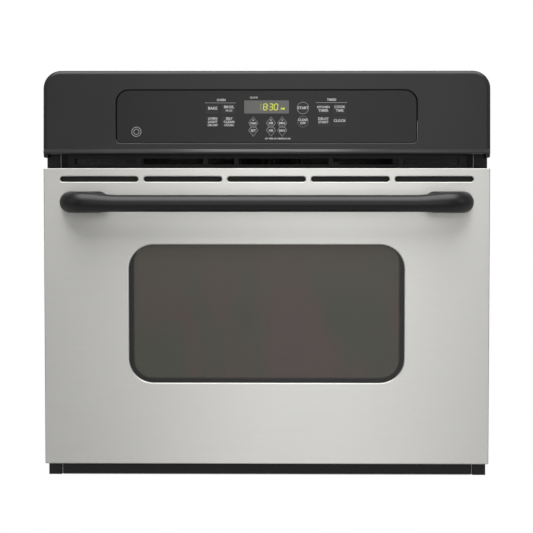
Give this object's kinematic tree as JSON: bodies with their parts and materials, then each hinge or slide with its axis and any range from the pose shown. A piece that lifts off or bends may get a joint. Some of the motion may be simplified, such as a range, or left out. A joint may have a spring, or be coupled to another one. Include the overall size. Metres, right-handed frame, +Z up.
{
  "type": "built-in wall oven",
  "caption": "Built-in single wall oven with a drop-down stainless door, viewing window, bar handle, dark touch control panel, racks and cooling air path.",
  "frame": {"origin": "under the middle of the appliance's bounding box, level with the underside of the base pan", "axes": "+Z up, +X to the right seen from the front, the front faces -Y"},
  "size_m": [0.7556, 0.68, 0.694],
  "materials": {
    "stainless_door": "horizontal brushed grain, satin",
    "panel_paint": "satin charcoal paint, fine texture",
    "touch_glass": "glossy back-painted glass",
    "window_glass": "glossy glass with a black border and a fine printed screen",
    "clear_glass": "clear heat-resistant glass",
    "satin_black": "satin black anodised",
    "black_trim": "low-gloss black paint",
    "zinc_steel": "bare zinc-coated sheet with a faint spangle",
    "porcelain": "glossy dark enamel with fine pale specks",
    "mineral_wool": "fibrous batt",
    "bright_wire": "bright plated steel",
    "element_sheath": "matt oxidised sheath",
    "fibre_seal": "woven glass-fibre braid",
    "black_plastic": "moulded, fine texture",
    "white_ceramic": "glazed white",
    "circuit_board": "green solder mask"
  },
  "bodies": {
    "cabinet": {"control_panel": "panel_paint", "panel_glass": "touch_glass", "lamp_cover": "clear_glass", "lamp_bulb": "clear_glass", "side_trim_left": "black_trim", "side_trim_right": "black_trim", "bottom_trim": "black_trim", "vent_grille": "black_trim", "blower_motor": "black_trim", "base_pan": "zinc_steel", "body_side_left": "zinc_steel", "body_side_right": "zinc_steel", "top_cover": "zinc_steel", "rear_cover": "zinc_steel", "air_duct": "zinc_steel", "vent_tube": "zinc_steel", "blower_housing": "zinc_steel", "junction_box": "zinc_steel", "conduit_gland": "zinc_steel", "latch_motor": "zinc_steel", "hinge_receiver_left": "zinc_steel", "hinge_receiver_right": "zinc_steel", "front_frame": "porcelain", "cavity_wrapper": "porcelain", "cavity_back": "porcelain", "insulation_wrap": "mineral_wool", "insulation_back": "mineral_wool", "temperature_sensor": "bright_wire", "hinge_arm_left": "bright_wire", "hinge_arm_right": "bright_wire", "bake_element": "element_sheath", "broil_element": "element_sheath", "door_gasket": "fibre_seal", "panel_end_left": "black_plastic", "panel_end_right": "black_plastic", "display_module": "black_plastic", "switch_body": "black_plastic", "lamp_socket": "white_ceramic", "control_board": "circuit_board"},
    "door": {"door_skin": "stainless_door", "window_glass": "window_glass", "middle_glass": "clear_glass", "inner_glass": "clear_glass", "door_frame": "zinc_steel", "door_insulation": "mineral_wool", "door_liner": "porcelain", "handle_bar": "satin_black", "handle_mount_left": "satin_black", "handle_mount_right": "satin_black", "hinge_channel_left": "zinc_steel", "hinge_channel_right": "zinc_steel", "hinge_spring_left": "bright_wire", "hinge_spring_right": "bright_wire"},
    "rack_lower": {"rack_lower": "bright_wire"},
    "rack_upper": {"rack_upper": "bright_wire"},
    "blower_wheel": {"blower_wheel": "zinc_steel"},
    "latch_hook": {"latch_hook": "bright_wire"},
    "switch_plunger": {"switch_plunger": "white_ceramic"},
    "spring_rod_left": {"spring_rod_left": "bright_wire"},
    "spring_rod_right": {"spring_rod_right": "bright_wire"}
  },
  "joints": [
    {"name": "door_hinge", "type": "hinge", "parent": "cabinet", "child": "door", "pos_m": [0, -0.268, 0.042], "axis": [1, 0, 0], "range_deg": [0, 90], "stiffness_Nm_per_rad": 12, "springref_deg": -57.3},
    {"name": "rack_upper_slide", "type": "slide", "parent": "cabinet", "child": "rack_upper", "axis": [0, -1, 0], "range_m": [0, 0.3]},
    {"name": "rack_lower_slide", "type": "slide", "parent": "cabinet", "child": "rack_lower", "axis": [0, -1, 0], "range_m": [0, 0.3]},
    {"name": "blower_spin", "type": "hinge", "parent": "cabinet", "child": "blower_wheel", "pos_m": [0, 0.0723, 0.547], "axis": [0, 0, 1], "continuous": true},
    {"name": "latch_swing", "type": "hinge", "parent": "cabinet", "child": "latch_hook", "pos_m": [-0.012, -0.222, 0.518], "axis": [0, 0, -1], "range_deg": [0, 80]},
    {"name": "switch_slide", "type": "slide", "parent": "cabinet", "child": "switch_plunger", "axis": [0, -1, 0], "range_m": [0, 0.009], "stiffness_N_per_m": 120, "springref_m": 0.012},
    {"name": "spring_rod_left_slide", "type": "slide", "parent": "door", "child": "spring_rod_left", "axis": [0, 0, -1], "range_m": [0, 0.021], "deforming": ["hinge_spring_left"]},
    {"name": "spring_rod_right_slide", "type": "slide", "parent": "door", "child": "spring_rod_right", "axis": [0, 0, -1], "range_m": [0, 0.021], "deforming": ["hinge_spring_right"]}
  ],
  "couplings": [
    {"joint": "rack_upper_slide", "follows": "door_hinge", "m_per_rad": 0.19},
    {"joint": "rack_lower_slide", "follows": "door_hinge", "m_per_rad": 0.175},
    {"joint": "switch_slide", "follows": "door_hinge", "m_per_rad": 0.0051},
    {"joint": "spring_rod_left_slide", "follows": "door_hinge", "m_per_rad": 0.01273},
    {"joint": "spring_rod_right_slide", "follows": "door_hinge", "m_per_rad": 0.01273}
  ]
}
